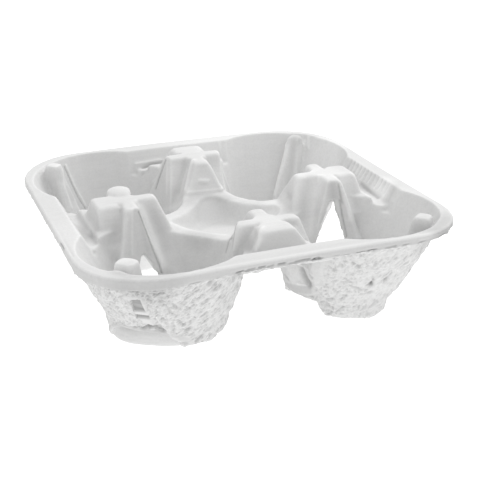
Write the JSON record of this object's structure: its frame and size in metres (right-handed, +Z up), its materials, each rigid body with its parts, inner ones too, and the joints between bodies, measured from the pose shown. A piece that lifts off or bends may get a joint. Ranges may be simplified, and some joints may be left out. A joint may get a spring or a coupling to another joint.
{
  "type": "cup carrier tray",
  "caption": "Moulded pulp carrier tray for takeaway cups: deep tapered pockets round a shallow centre well, with gripping towers between them and a turned-down rim.",
  "frame": {"origin": "middle of the tray's footprint, on the surface that the tray stands on", "axes": "+Z up, out of the pockets; +X towards the side with the ribbed grip face that the picture shows; +Y to the back, away from the viewer"},
  "size_m": [0.215, 0.215, 0.0595],
  "materials": {
    "pulp": "matte, off-white, fibrous"
  },
  "bodies": {
    "root": {"tray": "pulp"}
  },
  "joints": []
}
